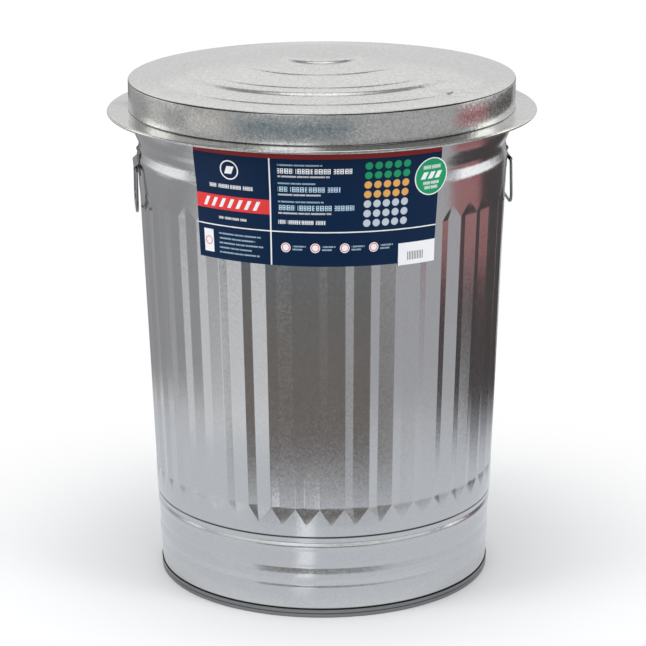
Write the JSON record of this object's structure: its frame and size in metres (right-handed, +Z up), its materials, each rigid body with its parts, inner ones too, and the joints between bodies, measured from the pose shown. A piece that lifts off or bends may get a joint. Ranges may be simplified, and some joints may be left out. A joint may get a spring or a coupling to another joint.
{
  "type": "galvanized trash can with lid",
  "caption": "Tapered fluted galvanized steel trash can with a recessed base, a lift-off ringed lid and two wire bail handles.",
  "frame": {"origin": "on the floor at the middle of the base", "axes": "+Z up along the can's axis; -Y is the front, where the label is; the bails are on +X and -X"},
  "size_m": [0.571, 0.571, 0.7102],
  "materials": {
    "galvanized_body": "hot-dip galvanized, bright and softly spangled",
    "galvanized_base": "galvanized, dull grey",
    "galvanized_lid": "hot-dip galvanized with a fine spangle",
    "bracket_steel": "zinc plated sheet",
    "rivet_steel": "zinc plated, dull",
    "steel_wire": "galvanized wire",
    "label_paper": "coated paper, printed",
    "green_sticker": "coated paper with a white rim",
    "white_sticker": "plain white paper"
  },
  "bodies": {
    "can": {"body_shell": "galvanized_body", "rim_wire": "steel_wire", "bottom_pan": "galvanized_base", "handle_bracket_left": "bracket_steel", "handle_bracket_right": "bracket_steel", "bracket_rivets_left": "rivet_steel", "bracket_rivets_right": "rivet_steel", "paper_label": "label_paper", "round_sticker": "green_sticker", "corner_sticker": "white_sticker"},
    "lid": {"lid": "galvanized_lid"},
    "bail_left": {"bail_left": "steel_wire"},
    "bail_right": {"bail_right": "steel_wire"}
  },
  "joints": [
    {"name": "lid_lift", "type": "slide", "parent": "can", "child": "lid", "axis": [0, 0, 1], "range_m": [0, 0.3]},
    {"name": "bail_left_swing", "type": "hinge", "parent": "can", "child": "bail_left", "pos_m": [-0.24952, 0, 0.5675], "axis": [0, 1, 0], "range_deg": [0, 165]},
    {"name": "bail_right_swing", "type": "hinge", "parent": "can", "child": "bail_right", "pos_m": [0.24952, 0, 0.5675], "axis": [0, -1, 0], "range_deg": [0, 165]}
  ]
}
